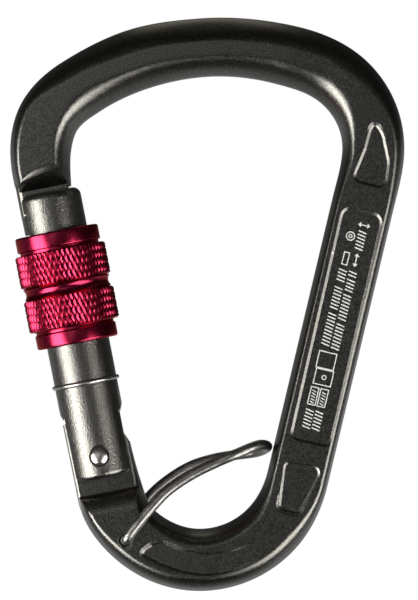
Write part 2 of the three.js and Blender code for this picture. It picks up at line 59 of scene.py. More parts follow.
# Stations of the forged bar: outer and inner edge [x, z, heading], half thickness, then for the outer
# and the inner side how far the drafted wall leans in, and how wide and deep the rounding above it is.
BAR = [
    ((-38.9, -30.7, 101.1), (-29.0, -28.8, 101.1), 5.8, (0.8, 1.2, 1.4), (1.1, 1.2, 1.4)),
    ((-41.3, -19.4, 101), (-30.1, -18.8, 93), 5.8, (0.8, 1.3, 1.5), (1.2, 1.8, 1.8)),
    ((-40.4, -6.5, 68), (-29.2, -11.0, 68), 5.9, (0.8, 1.5, 1.7), (1.2, 2.5, 2.2)),
    ((-31.6, 3.1, 32), (-24.9, -6.9, 34), 6.0, (0.9, 3.4, 3.0), (1.1, 3.9, 2.9)),
    ((-20.5, 8.7, 20), (-16.4, -2.6, 20), 6.0, (1.1, 4.0, 3.4), (1.2, 3.2, 2.8)),
    ((-4.7, 11.5, 4), (-3.9, 0.1, 4), 6.0, (1.5, 3.4, 3.2), (1.0, 3.2, 2.7)),
    ((12.9, 10.1, -12), (9.8, -1.3, -15), 6.0, (1.1, 3.8, 3.3), (1.1, 3.6, 2.9)),
    ((24.4, 5.5, -34), (17.5, -4.3, -35), 5.6, (0.9, 3.9, 3.2), (1.2, 3.8, 2.6)),
    ((34.5, -15.3, -94), (22.5, -14.4, -94), 5.3, (0.6, 1.7, 1.9), (0.9, 1.4, 1.6)),
    ((32.3, -26.2, -103.4), (20.6, -23.4, -103.4), 5.3, (0.5, 1.2, 1.4), (0.7, 0.7, 1.1)),
    ((19.7, -79.0, -103.4), (8.1, -76.1, -103.4), 5.3, (0.5, 1.2, 1.4), (0.7, 0.9, 1.2)),
    ((13.0, -91.8, -134), (4.3, -83.4, -134), 5.6, (0.8, 2.5, 2.3), (0.8, 2.1, 2.2)),
    ((-4.3, -99.5, -178), (-4.7, -87.4, -178), 5.8, (0.8, 2.6, 2.4), (0.8, 2.7, 2.6)),
    ((-21.1, -93.6, -220), (-13.4, -84.2, -219), 5.8, (0.9, 2.0, 2.1), (0.8, 2.0, 2.1)),
    ((-28.7, -81.8, -259), (-16.6, -77.8, -252), 5.8, (0.8, 1.2, 1.5), (0.9, 1.4, 1.7)),
    ((-32.2, -64.5, -258.9), (-20.3, -62.2, -258.9), 5.8, (0.8, 1.2, 1.5), (0.9, 1.4, 1.7)),
]
SECTION_SPACING = 0.75
FILLET_STEPS = 10
WALL_STEPS = 5
WALL_CURVE = 1.4  # the drafted wall bends in toward its rounding

RIVET_X, RIVET_Z = -24.4, -73.2
TILT = math.radians(11.1)
BLADE = 2.5
SLOT = BLADE + CLEAR
GATE_RADIUS = 6.1
REACH = 12.0

POCKETS = {  # outline of [x, z, corner radius], height of the land beside it
    "shoulder": ([(28.4, -8.0, 1.2), (30.2, -11.4, 4), (31.3, -16.6, 5), (30.6, -21.7, 1.6),
                  (24.3, -20.0, 1.4), (26.8, -13.9, 6)], 5.3),
    "panel": ([(22.6, -25.0, 2.1), (30.2, -26.9, 2.1), (19.9, -71.5, 1.6), (12.4, -69.6, 1.6)], 5.3),
    "heel": ([(11.3, -74.1, 1.4), (18.7, -75.4, 1.8), (13.9, -84.3, 1.0), (10.2, -83.3, 1.1)], 5.35),
    "basket": ([(-12.3, -89.8, 0.9), (-8.2, -91.3, 6), (-3.6, -92.0, 9), (1.6, -91.2, 6), (7.4, -88.6, 0.8),
                (10.0, -90.0, 0.8), (5.4, -93.4, 6), (0.6, -95.4, 9), (-3.8, -96.1, 9), (-8.4, -95.5, 9),
                (-12.6, -94.0, 6), (-16.7, -91.9, 0.9), (-14.3, -90.2, 0.9)], 5.75),
}

# ---------------------------------------------------------------- mesh helpers


def new_object(name, points, faces):
    """A mesh object from points in millimetres, its faces turned outward."""
    mesh = bpy.data.meshes.new(name)
    mesh.from_pydata([tuple(MM * c for c in p) for p in points], [], faces)
    bm = bmesh.new()
    bm.from_mesh(mesh)
    bmesh.ops.recalc_face_normals(bm, faces=bm.faces)
    bm.to_mesh(mesh)
    bm.free()
    obj = bpy.data.objects.new(name, mesh)
    bpy.context.scene.collection.objects.link(obj)
    return obj


def apply_modifiers(obj):
    graph = bpy.context.evaluated_depsgraph_get()
    mesh = bpy.data.meshes.new_from_object(obj.evaluated_get(graph))
    obj.modifiers.clear()
    obj.data = mesh


def combine(obj, others, operation):
    """Cuts other objects out of one, or joins them to it, and removes them."""
    for other in others:
        modifier = obj.modifiers.new("combine", "BOOLEAN")
        modifier.operation = operation
        modifier.solver = "MANIFOLD"
        modifier.object = other
    bpy.context.view_layer.update()
    apply_modifiers(obj)
    for other in others:
        bpy.data.objects.remove(other)
    return obj


def shade(obj, sharp_degrees=32, weighted=True):
    """Smooth faces with crisp edges; large flat faces keep their own normals."""
    mesh = obj.data
    mesh.polygons.foreach_set("use_smooth", [True] * len(mesh.polygons))
    mesh.set_sharp_from_angle(angle=math.radians(sharp_degrees))
    if weighted:
        modifier = obj.modifiers.new("normals", "WEIGHTED_NORMAL")
        modifier.keep_sharp = True
        modifier.mode = "FACE_AREA"
        modifier.weight = 50
        apply_modifiers(obj)


def gate_to_row(points):
    """Points in gate axes (u, y, w) as row points (x, y, z)."""
    c, s = math.cos(TILT), math.sin(TILT)
    return [(RIVET_X + u * c - w * s, y, RIVET_Z + u * s + w * c) for u, y, w in points]


def round_gate(radius, angle, w):
    return gate_to_row([(radius * math.cos(angle), radius * math.sin(angle), w)])[0]


def lathe(profile, segments=96, phase=0.0):
    """Points (r, height) turned about the third axis. A profile that ends where it starts makes a ring."""
    closed_loop = profile[0] == profile[-1]
    if closed_loop:
        profile = profile[:-1]
    points, rows = [], []
    for r, h in profile:
        if r < 1e-6:
            rows.append([len(points)])
            points.append((0.0, 0.0, h))
            continue
        rows.append(list(range(len(points), len(points) + segments)))
        for k in range(segments):
            angle = 2 * math.pi * (k + phase) / segments
            points.append((r * math.cos(angle), r * math.sin(angle), h))
    faces = []
    followers = rows[1:] + ([rows[0]] if closed_loop else [])
    for a, b in zip(rows, followers):
        for k in range(segments):
            n = (k + 1) % segments
            if len(a) == 1 and len(b) == 1:
                break
            if len(a) == 1:
                faces.append((a[0], b[k], b[n]))
            elif len(b) == 1:
                faces.append((a[k], a[n], b[0]))
            else:
                faces.append((a[k], a[n], b[n], b[k]))
    return points, faces


def gate_lathe(name, profile, segments=96, phase=0.0):
    points, faces = lathe(profile, segments, phase)
    return new_object(name, gate_to_row(points), faces)


def gate_pin(name, profile, segments=48):
    """A lathe about the rivet's axis; its profile is (radius, y)."""
    points, faces = lathe(profile, segments)
    return new_object(name, gate_to_row([(a, h, b) for a, b, h in points]), faces)


def prism(outline, low, high, place):
    """A closed prism: outline points (a, b) between two depths, put in place by place(a, b, depth)."""
    n = len(outline)
    points = [place(a, b, low) for a, b in outline] + [place(a, b, high) for a, b in outline]
    faces = [tuple(range(n)), tuple(range(n, 2 * n))]
    faces += [(k, (k + 1) % n, n + (k + 1) % n, n + k) for k in range(n)]
    return points, faces


def across_gate(outline, low=-REACH, high=REACH):
    """A cutter with its outline in (y, w), running across the gate along u."""
    points, faces = prism(outline, low, high, lambda y, w, u: (u, y, w))
    return new_object("cutter", gate_to_row(points), faces)


def through_gate(outline, low=-REACH, high=REACH):
    """A cutter with its outline in (u, w), running through the thickness along y."""
    points, faces = prism(outline, low, high, lambda u, w, y: (u, y, w))
    return new_object("cutter", gate_to_row(points), faces)


def along_gate(outline, low, high):
    """A cutter with its outline in (u, y), running along the gate."""
    points, faces = prism(outline, low, high, lambda u, y, w: (u, y, w))
    return new_object("cutter", gate_to_row(points), faces)


def rivet_hole():
    return gate_pin("cutter", [(0, -REACH), (RIVET_BORE, -REACH), (RIVET_BORE, REACH), (0, REACH)])


def corner_cut(edge, first, second, along_first, along_second):
    """The triangle that bevels a corner: how far it reaches along each of the corner's two faces."""
    (a, b), (p, q), (r, s) = edge, first, second
    return [(a + along_first * p, b + along_first * q), (a + along_second * r, b + along_second * s),
            (a - 0.5 * (p + r), b - 0.5 * (q + s))]


def mirrored(outline):
    return [(-a, b) for a, b in outline]


def catmull(points, samples):
    """A centripetal Catmull-Rom curve through the points, like the part's own."""
    pts = [np.array(p, float) for p in points]
    count = len(pts)
    curve = []
    for k in range(samples + 1):
        along = (count - 1) * k / samples
        i = min(int(along), count - 2)
        t = along - i
        p1, p2 = pts[i], pts[i + 1]
        p0 = pts[i - 1] if i > 0 else 2 * p1 - p2
        p3 = pts[i + 2] if i + 2 < count else 2 * p2 - p1
        pairs = ((p0, p1), (p1, p2), (p2, p3))
        d0, d1, d2 = (max(float(np.dot(b - a, b - a)) ** 0.25, 1e-4) for a, b in pairs)
        m1 = ((p1 - p0) / d0 - (p2 - p0) / (d0 + d1) + (p2 - p1) / d1) * d1
        m2 = ((p2 - p1) / d1 - (p3 - p1) / (d1 + d2) + (p3 - p2) / d2) * d1
        c2, c3 = -3 * p1 + 3 * p2 - 2 * m1 - m2, 2 * p1 - 2 * p2 + m1 + m2
        curve.append(p1 + m1 * t + c2 * t * t + c3 * t ** 3)
    return curve


def sweep(path, radius, sides=24, ends=5):
    """A round wire along a path, with rounded ends."""
    path = [np.array(p, float) for p in path]
    tangents = [path[min(i + 1, len(path) - 1)] - path[max(i - 1, 0)] for i in range(len(path))]
    tangents = [t / np.linalg.norm(t) for t in tangents]
    side = np.cross(tangents[0], (0.31, 0.87, 0.39))
    side /= np.linalg.norm(side)
    rings = []

    def ring(centre, normal, tangent, r):
        other = np.cross(tangent, normal)
        return [tuple(centre + r * (math.cos(a) * normal + math.sin(a) * other))
                for a in (2 * math.pi * k / sides for k in range(sides))]

    frames = []
    for t in tangents:
        side = side - np.dot(side, t) * t
        side /= np.linalg.norm(side)
        frames.append(side.copy())
    for k in range(ends):
        angle = math.pi / 2 * (k + 0.35) / ends
        rings.append(ring(path[0] - tangents[0] * radius * 0.5 * math.cos(angle), frames[0], tangents[0],
                          radius * math.sin(angle)))
    for p, t, n in zip(path, tangents, frames):
        rings.append(ring(p, n, t, radius))
    for k in reversed(range(ends)):
        angle = math.pi / 2 * (k + 0.35) / ends
        rings.append(ring(path[-1] + tangents[-1] * radius * 0.5 * math.cos(angle), frames[-1], tangents[-1],
                          radius * math.sin(angle)))
    return skin(rings)


def skin(rings):
    """Rings of points skinned into one closed body with flat ends."""
    n = len(rings[0])
    points = [p for ring in rings for p in ring]
    faces = []
    for r in range(len(rings) - 1):
        for k in range(n):
            a, b = r * n + k, r * n + (k + 1) % n
            faces.append((a, b, b + n, a + n))
    last = (len(rings) - 1) * n
    faces.append(tuple(range(n)))
    faces.append(tuple(range(last, last + n)))
    return points, faces


# ---------------------------------------------------------------- frame


def quadratic(a, b, c, t):
    return a * (1 - t) ** 2 + 2 * b * t * (1 - t) + c * t * t


def cubic(a, b, c, d, t):
    return a * (1 - t) ** 3 + 3 * b * t * (1 - t) ** 2 + 3 * c * t * t * (1 - t) + d * t ** 3


def bezier(p, q):
    """The curve between two edge stations [x, z, heading]."""
    (x0, z0, a0), (x1, z1, a1) = p, q
    start, end = np.array((x0, z0)), np.array((x1, z1))
    reach = np.linalg.norm(end - start) / (3 * math.cos(math.radians(a1 - a0) / 4) ** 2)
    h0 = np.array((math.cos(math.radians(a0)), math.sin(math.radians(a0))))
    h1 = np.array((math.cos(math.radians(a1)), math.sin(math.radians(a1))))
    first, second = start + h0 * reach, end - h1 * reach
    return lambda t: cubic(start, first, second, end, t)


def side_profile(half, side):
    """One side's (inset, height) points, from the middle of the wall to the edge of the land."""
    wall, run, depth = side
    foot = half - depth
    lean = WALL_CURVE * wall / foot
    corner = np.array((wall + lean * depth, half))
    start, end = np.array((wall, foot)), np.array((wall + run, half))
    first, second = start + 0.6 * (corner - start), end + 0.6 * (corner - end)
    rows = [(wall * (k / WALL_STEPS) ** WALL_CURVE, foot * k / WALL_STEPS) for k in range(WALL_STEPS)]
    for k in range(FILLET_STEPS + 1):
        t = k / FILLET_STEPS
        rows.append(tuple(cubic(start, first, second, end, t)))
    return rows


def bar_section(outer, inner, half, outer_side, inner_side):
    width = float(np.linalg.norm(inner - outer))
    across = (inner - outer) / width
    from_outer = side_profile(half, outer_side)
    from_inner = [(width - inset, y) for inset, y in side_profile(half, inner_side)]
    low, high = from_outer[-1][0], from_inner[-1][0]
    land = [(low + (high - low) * k / 5, half) for k in range(1, 5)]
    front = from_outer + land + from_inner[::-1]
    back = from_inner[1:] + land[::-1] + from_outer[:0:-1]
    ring = [(inset, -y) for inset, y in front] + back
    return [(outer[0] + across[0] * inset, y, outer[1] + across[1] * inset) for inset, y in ring]


def forged_bar():
    rings = []
    for i in range(len(BAR) - 1):
        outer_a, inner_a, *rest_a = BAR[i]
        outer_b, inner_b, *rest_b = BAR[i + 1]
        outer, inner = bezier(outer_a, outer_b), bezier(inner_a, inner_b)
        length = math.dist(outer_a[:2], outer_b[:2])
        steps = max(4, math.ceil(length / SECTION_SPACING))
        for k in range(steps + (1 if i == len(BAR) - 2 else 0)):
            t = k / steps
            ease = t * t * (3 - 2 * t)
            half = rest_a[0] + (rest_b[0] - rest_a[0]) * ease
            sides = [np.array(a) + (np.array(b) - np.array(a)) * ease for a, b in zip(rest_a[1:], rest_b[1:])]
            rings.append(bar_section(outer(t), inner(t), half, *sides))
    return skin(rings)


def rounded_outline(corners, arc_steps=9, spacing=0.8):
    """A closed run of [x, z] points with its corners rounded."""
    path = []
    n = len(corners)
    for i, (x, z, radius) in enumerate(corners):
        here = np.array((x, z))
        before = np.array(corners[i - 1][:2]) - here
        after = np.array(corners[(i + 1) % n][:2]) - here
        before, after = before / np.linalg.norm(before), after / np.linalg.norm(after)
        half_angle = math.acos(np.clip(np.dot(before, after), -1, 1)) / 2
        reach = radius / math.tan(half_angle)
        enter, leave = here + before * reach, here + after * reach
        if path:
            gap = np.linalg.norm(enter - path[-1])
            pieces = max(1, int(gap / spacing))
            path += [path[-1] + (enter - path[-1]) * k / pieces for k in range(1, pieces)]
        for k in range(arc_steps + 1):
            t = k / arc_steps
            path.append(quadratic(enter, here, leave, t))
    gap = np.linalg.norm(path[0] - path[-1])
    pieces = max(1, int(gap / spacing))
    last = path[-1]
    path += [last + (path[0] - last) * k / pieces for k in range(1, pieces)]
    tidy = [path[0]]
    for p in path[1:]:
        if np.linalg.norm(p - tidy[-1]) > 0.03:
            tidy.append(p)
    return np.array(tidy)


FILLET = 0.25  # radius of the recess's rim and of its floor's edge
WALL_TILT = 31
WALL_RUN = 0.38
RIM_TILTS = (8, 16, 24, WALL_TILT)


def pocket_wall():
    """The recess's wall as (offset outward, depth): a rounded rim, a slope and a rounded floor edge."""
    steep = math.radians(WALL_TILT)
    start = FILLET * math.sin(steep) + WALL_RUN / 2
    rows = [(start + 1.0, -0.6), (start + 0.25, -0.045)]
    for tilt in RIM_TILTS:
        a = math.radians(tilt)
        rows.append((start - FILLET * math.sin(a), FILLET * (1 - math.cos(a))))
    offset = rows[-1][0] - WALL_RUN
    depth = rows[-1][1] + WALL_RUN * math.tan(steep)
    for tilt in (*reversed(RIM_TILTS), 0):
        a = math.radians(tilt)
        fall = FILLET * (math.cos(a) - math.cos(steep))
        rows.append((offset - FILLET * (math.sin(steep) - math.sin(a)), depth + fall))
    return rows


def unit_rows(vectors):
    return vectors / np.linalg.norm(vectors, axis=1)[:, None]


def pocket_cutter(corners, land, face, fade=None):
    """The cutter of one recess in a land, on one face (-1 front, 1 back)."""
    outline = rounded_outline(corners)
    after = np.roll(outline, -1, axis=0) - outline
    before = outline - np.roll(outline, 1, axis=0)
    tangent = unit_rows(unit_rows(after) + unit_rows(before))
    normal = np.stack((tangent[:, 1], -tangent[:, 0]), axis=1)
    x, z = outline[:, 0], outline[:, 1]
    area = np.sum(x * np.roll(z, -1) - np.roll(x, -1) * z)
    if area < 0:
        normal = -normal
    rings = []
    for offset, depth in pocket_wall():
        ring = []
        for p, n in zip(outline, normal):
            q = p + n * offset
            shallow = fade(q[0]) if fade and depth > 0 else 1.0
            ring.append((q[0], face * (land - depth * shallow), q[1]))
        rings.append(ring)
    points, faces = skin(rings)
    return new_object("cutter", points, faces)


BASKET_END, BASKET_RUN, BASKET_LEAST = 9.5, 13.0, 0.06


def basket_fade(x):
    """The basket's recess runs out to almost nothing toward the spine."""
    return min(1.0, max(BASKET_LEAST, (BASKET_END - x) / BASKET_RUN))


def quarter(count):
    """Angles along a quarter turn, without its start."""
    return [math.pi / 2 * k / count for k in range(1, count + 1)]


CHEEK_BOTTOM, CHEEK_RISE = -7.1, 4.4
CHEEK_STEP = BLADE + 0.06
NOSE_END, NOSE_NECK, NOSE_INNER, NOSE_CUT = 44.4, 48.2, 4.0, 42.0
NOSE_HEAD_HALF, NOSE_HEAD_INNER = 3.2, 3.0
NECK_TOP = 52.8
ROOM_TOP = 54.1  # the sleeve's top rises to 54.0 at the end of its travel
SLOT_FLOOR = 44.2  # in the gate, under the nose
GATE_TOP, GATE_BOTTOM = 52.0, -4.2
HALF = 5.8
RIVET_BORE = 1.7
KEEPER_X, KEEPER_Z = -19.5, -89.4


def cheek_outline():
    outline = [(BLADE, REACH), (BLADE, CHEEK_BOTTOM + 0.12), (CHEEK_STEP, CHEEK_BOTTOM)]
    for a in quarter(14):
        outline.append((CHEEK_STEP + (HALF - BLADE) * math.sin(a),
                        CHEEK_BOTTOM - CHEEK_RISE * (1 - math.cos(a))))
    return outline + [(REACH, outline[-1][1]), (REACH, REACH)]


def neck_slope_top(u):
    """How far up the land the scoop above the nose's blade reaches: an arc across the bar."""
    arc_u, arc_radius, peak, widest, least = 1.8, 10.0, 57.3, 9.0, 1.4
    top = peak + math.sqrt(arc_radius ** 2 - min(abs(u - arc_u), widest) ** 2) - arc_radius
    return max(top, NECK_TOP + least)


def neck_cutter(face):
    """Thins the bar to the nose's blade, with a sloping scoop above it that rounds over into the land."""
    # how the scoop leaves the blade: (y, share of the rise)
    start, bend, end = np.array((5.0, 0.60)), np.array((5.85, 0.83)), np.array((5.9, 1.15))
    rings = []
    for k in range(41):
        u = -8 + 16 * k / 40
        rise = neck_slope_top(u) - NECK_TOP
        profile = [(NOSE_HEAD_HALF, NOSE_CUT), (NOSE_HEAD_HALF, NOSE_NECK), (BLADE, NOSE_NECK),
                   (BLADE, NECK_TOP)]
        for j in range(9):
            t = j / 8
            y, share = quadratic(start, bend, end, t)
            profile.append((y, NECK_TOP + rise * share))
        profile += [(6.6, NECK_TOP + 1.9 * rise), (REACH, NECK_TOP + 3 * rise), (REACH, NOSE_CUT)]
        rings.append([(u, face * y, w) for y, w in profile])
    points, faces = skin(rings)
    return new_object("cutter", gate_to_row(points), faces)


def tang_top_outline():
    """What is cleared above the tang, so the gate's slot can turn round it."""
    outline = [(-REACH, REACH), (-REACH, 7.2), (-6.3, 7.2), (-6.0, 7.0), (-5.5, 7.2)]
    for k in range(17):
        degrees = -18 + 56 * k / 16
        a = math.radians(degrees)
        r = 5.0 + 3.0 * max(a, 0)
        outline.append((r * math.sin(a), r * math.cos(a)))
    return outline + [(6.1, 1.6), (REACH, 1.6), (REACH, REACH)]


TANG_EDGE, NOSE_OUTER_EDGE, NOSE_INNER_EDGE = 6.05, -5.56, 4.35
KEEPER_BORE, KEEPER_RIM = 1.2, 1.5


def frame_cutters():
    cutters = []

    def bevel(edge_u, face, across, along, low, high):
        edge, toward = (edge_u, face * BLADE), (1 if edge_u < 0 else -1, 0)
        cutters.append(along_gate(corner_cut(edge, toward, (0, -face), across, along), low, high))

    for face in (-1, 1):
        turn = mirrored if face < 0 else (lambda outline: outline)
        cutters.append(across_gate(turn(cheek_outline())))
        cutters.append(neck_cutter(face))
        cutters.append(through_gate(
            [(NOSE_HEAD_INNER, NOSE_CUT), (REACH, NOSE_CUT), (REACH, NOSE_NECK),
             (NOSE_HEAD_INNER, NOSE_NECK)],
            *((-REACH, -BLADE) if face < 0 else (BLADE, REACH))))
        # bevels along the tang and the nose's blade
        for across, along in ((0.85, 0.4), (0.4, 0.55)):
            bevel(-TANG_EDGE, face, across, along, -14, 9)
            bevel(TANG_EDGE, face, across, along, -9.5, 9)
        bevel(NOSE_OUTER_EDGE, face, 0.5, 0.25, 47.9, 54.9)
        bevel(NOSE_INNER_EDGE, face, 0.55, 0.28, 52.2, 54.4)
        # the keeper's hole, with a fine bevel at its rim
        profile = [(0, 1.0), (KEEPER_BORE, 1.0), (KEEPER_BORE, HALF - 0.14), (KEEPER_RIM, HALF + 0.02),
                   (KEEPER_RIM, REACH), (0, REACH)]
        points, faces = lathe(profile, 40)
        points = [(KEEPER_X + a, face * h, KEEPER_Z + b) for a, b, h in points]
        cutters.append(new_object("cutter", points, faces))
        for name, (corners, land) in POCKETS.items():
            fade = basket_fade if name == "basket" else None
            cutters.append(pocket_cutter(corners, land, face, fade))
    cutters.append(through_gate(tang_top_outline()))
    cutters.append(rivet_hole())
    # room for the sleeve round the nose
    outer = GATE_RADIUS + REACH
    cutters.append(gate_lathe("cutter", [
        (GATE_RADIUS, NOSE_CUT), (outer, NOSE_CUT), (outer, ROOM_TOP), (GATE_RADIUS, ROOM_TOP),
        (GATE_RADIUS, NOSE_CUT)], 96, 0.5))
    below = NOSE_CUT - 1
    cutters.append(through_gate([(-REACH, below), (REACH, below), (REACH, NOSE_END), (-REACH, NOSE_END)]))
    top = GATE_TOP + CLEAR
    cutters.append(through_gate([(NOSE_INNER, NOSE_CUT), (REACH, NOSE_CUT), (REACH, top), (NOSE_INNER, top)]))
    return cutters


def make_frame():
    points, faces = forged_bar()
    obj = new_object("forged_frame", points, faces)
    combine(obj, frame_cutters(), "DIFFERENCE")
    shade(obj, 30)
    return obj


# ---------------------------------------------------------------- gate


def arc(centre_r, centre_h, radius, start, stop, count):
    """Profile points on an arc, angles in degrees from the outward radius."""
    out = []
    for k in range(count + 1):
        a = math.radians(start + (stop - start) * k / count)
        out.append((centre_r + radius * math.cos(a), centre_h + radius * math.sin(a)))
    return out


THREAD_FROM, THREAD_TO, THREAD_ROOT, PITCH = 22.8, 44.1, 5.5, 2.0
THREAD_CREST, THREAD_BASE, THREAD_EASE = 0.4, 1.05, 0.5


def helical_ridge(profile, low, turns, steps=48):
    """A thread's ridge: an (r, height) profile wound up the gate's axis from low."""
    rings = []
    for k in range(round(turns * steps) + 1):
        a = 2 * math.pi * k / steps
        lift = low + PITCH * k / steps
        rings.append([(r * math.cos(a), r * math.sin(a), lift + h) for r, h in profile])
    points, faces = skin(rings)
    return new_object("ridge", gate_to_row(points), faces)


SPRING_BORE, SPRING_BORE_FROM, SPRING_BORE_TO = 2.7, 6.6, 38
RING_RADIUS, RING_W, RING_GROOVE = 6.2, 14.4, 0.5
RIVET_SEAT = 0.9  # how far the rivet's heads sit into the gate


def make_gate():
    shoulder, foot = 1.5, 1.0
    profile = [(0, GATE_BOTTOM)] + arc(GATE_RADIUS - foot, GATE_BOTTOM + foot, foot, -90, 0, 7)
    profile += [(GATE_RADIUS, THREAD_FROM), (THREAD_ROOT, THREAD_FROM + THREAD_EASE)]
    profile += [(THREAD_ROOT, THREAD_TO - THREAD_EASE), (GATE_RADIUS, THREAD_TO)]
    profile += arc(GATE_RADIUS - shoulder, GATE_TOP - shoulder, shoulder, 0, 90, 10) + [(0, GATE_TOP)]
    obj = gate_lathe("gate_body", profile, 120, 0.5)
    start = THREAD_FROM + THREAD_EASE
    turns = math.floor(4 * (THREAD_TO - THREAD_EASE - THREAD_BASE - start) / PITCH) / 4
    foot_r = THREAD_ROOT - 0.4
    thread = helical_ridge([
        (foot_r, 0), (foot_r, THREAD_BASE), (GATE_RADIUS, (THREAD_BASE + THREAD_CREST) / 2),
        (GATE_RADIUS, (THREAD_BASE - THREAD_CREST) / 2)], start, turns)
    combine(obj, [thread], "UNION")
    below, above = GATE_BOTTOM - 1, GATE_TOP + 1
    inner, head_inner = NOSE_INNER + CLEAR, NOSE_HEAD_INNER + CLEAR
    head, head_top = NOSE_HEAD_HALF + CLEAR, NOSE_NECK + CLEAR
    cutters = [
        # the tang's slot, then the nose's blade and head
        through_gate([(-REACH, below), (REACH, below), (REACH, 9.4), (6.2, 9.4), (5.4, 7.6),
                      (-5.4, 7.6), (-6.2, 9.4), (-REACH, 9.4)], -SLOT, SLOT),
        through_gate([(-REACH, SLOT_FLOOR), (inner, SLOT_FLOOR), (inner, above), (-REACH, above)],
                     -SLOT, SLOT),
        through_gate([(-REACH, SLOT_FLOOR), (head_inner, SLOT_FLOOR), (head_inner, head_top),
                      (-REACH, head_top)], -head, head),
        gate_lathe("cutter", [(0, SPRING_BORE_FROM), (SPRING_BORE, SPRING_BORE_FROM),
                              (SPRING_BORE, SPRING_BORE_TO), (0, SPRING_BORE_TO)], 64),
        rivet_hole(),
    ]
    groove = [(RING_RADIUS + RING_GROOVE * math.cos(2 * math.pi * k / 20),
               RING_W + RING_GROOVE * math.sin(2 * math.pi * k / 20)) for k in range(20)]
    cutters.append(gate_lathe("cutter", groove + [groove[0]], 120, 0.25))
    edge_u = math.sqrt(GATE_RADIUS ** 2 - SLOT ** 2)
    for face in (-1, 1):
        seat = [(0, GATE_RADIUS - RIVET_SEAT), (2.0, GATE_RADIUS - RIVET_SEAT), (2.0, GATE_RADIUS - 0.22),
                (2.35, 6.3), (2.35, REACH), (0, REACH)]
        cutters.append(gate_pin("cutter", [(r, face * y) for r, y in seat]))
        for side in (-1, 1):
            radial = (side * edge_u / GATE_RADIUS, face * SLOT / GATE_RADIUS)
            along = (-radial[1] * side * face, radial[0] * side * face)
            bevel = corner_cut((side * edge_u, face * SLOT), along, (-side, 0), 0.28, 0.28)
            cutters.append(along_gate(bevel, GATE_BOTTOM - 1, 8.2))
    combine(obj, cutters, "DIFFERENCE")
    shade(obj, 30)
    return obj


def make_rivet():
    seat, radius = GATE_RADIUS - RIVET_SEAT + CLEAR, 1.8
    dome = [(1.5, seat), (1.72, seat), (radius, seat + 0.08)]
    for k in range(12):
        a = math.pi / 2 * k / 12
        dome.append((radius * math.cos(a), seat + 0.2 + 0.85 * math.sin(a)))
    dome.append((0, seat + 1.05))
    profile = [(r, -y) for r, y in reversed(dome)] + dome
    obj = gate_pin("rivet_pin", profile, 64)
    shade(obj, 40, False)
    return obj


PLUNGER_TIP = 5.3
PLUNGER_TOP = PLUNGER_TIP + 9.6
COIL_GAP = 0.57  # between the coil's centre line and what it presses on
COIL_LOW, COIL_HIGH = PLUNGER_TOP + COIL_GAP, SPRING_BORE_TO - COIL_GAP
COIL_TURNS, COIL_STEPS, COIL_RADIUS, COIL_WIRE = 8, 28, 1.95, 0.32


def make_plunger():
    profile = [(0, PLUNGER_TIP)]
    profile += [(1.5 * math.sin(a), PLUNGER_TIP + 1.5 * (1 - math.cos(a))) for a in quarter(8)]
    profile += [(2.35, PLUNGER_TIP + 2.7), (2.35, PLUNGER_TOP - 0.2), (2.15, PLUNGER_TOP), (0, PLUNGER_TOP)]
    obj = gate_lathe("plunger_pin", profile, 56)
    shade(obj, 35, False)
    return obj


def make_spring():
    path = []
    for k in range(COIL_TURNS * COIL_STEPS + 1):
        t = k / (COIL_TURNS * COIL_STEPS)
        a = 2 * math.pi * COIL_TURNS * t
        path.append(round_gate(COIL_RADIUS, a, COIL_LOW + (COIL_HIGH - COIL_LOW) * t))
    points, faces = sweep(path, COIL_WIRE, 10, 3)
    obj = new_object("gate_coil", points, faces)
    shade(obj, 50, False)
    return obj


# ---------------------------------------------------------------- sleeve

KNURL_RADIUS = 8.85
KNURL_DEPTH = 0.21
KNURL_COLUMNS = 58
KNURL_PITCH = 2.86
KNURL_FLAT = 0.34
KNURL_BACK, BAND_BACK = 7.2, 7.4  # inner radius of the shell, and of the tool that trims it


def knurl_shell(low, high):
    """A ring with a diamond knurl: pyramids between two families of crossing grooves."""
    steps = (0.0, 0.5 - KNURL_FLAT / 2, 0.5 + KNURL_FLAT / 2)
    sub = len(steps)
    span = sub * KNURL_COLUMNS

    def at(i, j):
        a = i // sub + steps[i % sub]
        b = j // sub + steps[j % sub]
        rise = min(1.0, 2 * min(a % 1, 1 - a % 1, b % 1, 1 - b % 1) / (1 - KNURL_FLAT))
        angle = math.pi * (a + b) / KNURL_COLUMNS
        return angle, (a - b) * KNURL_PITCH / 2, KNURL_RADIUS - KNURL_DEPTH * (1 - rise)

    index, points, faces, edge_users = {}, [], [], {}

    def vertex(i, j, inner):
        turns = math.floor(i / span)
        key = (i - turns * span, j - turns * span, inner)
        if key not in index:
            angle, w, r = at(key[0], key[1])
            if inner:
                r = KNURL_BACK
            index[key] = len(points)
            points.append((r * math.cos(angle), r * math.sin(angle), w))
        return index[key]

    cells = []
    for i in range(span):
        first = i - math.ceil(2 * high / KNURL_PITCH * sub) - sub
        last = i - math.floor(2 * low / KNURL_PITCH * sub) + sub
        for j in range(first, last + 1):
            corners = [(i, j), (i + 1, j), (i + 1, j + 1), (i, j + 1)]
            ws = [at(*c)[1] for c in corners]
            if min(ws) > high + 0.1 or max(ws) < low - 0.1:
                continue
            cells.append(corners)
    for corners in cells:
        outer = [vertex(*c, False) for c in corners]
        inner = [vertex(*c, True) for c in corners]
        faces += [tuple(outer), tuple(reversed(inner))]
        for k in range(4):
            a, b = outer[k], outer[(k + 1) % 4]
            edge_users.setdefault(frozenset((a, b)), []).append((a, b, inner[k], inner[(k + 1) % 4]))
    for users in edge_users.values():
        if len(users) == 1:
            a, b, c, d = users[0]
            faces.append((b, a, c, d))
    return new_object("knurl", gate_to_row(points), faces)


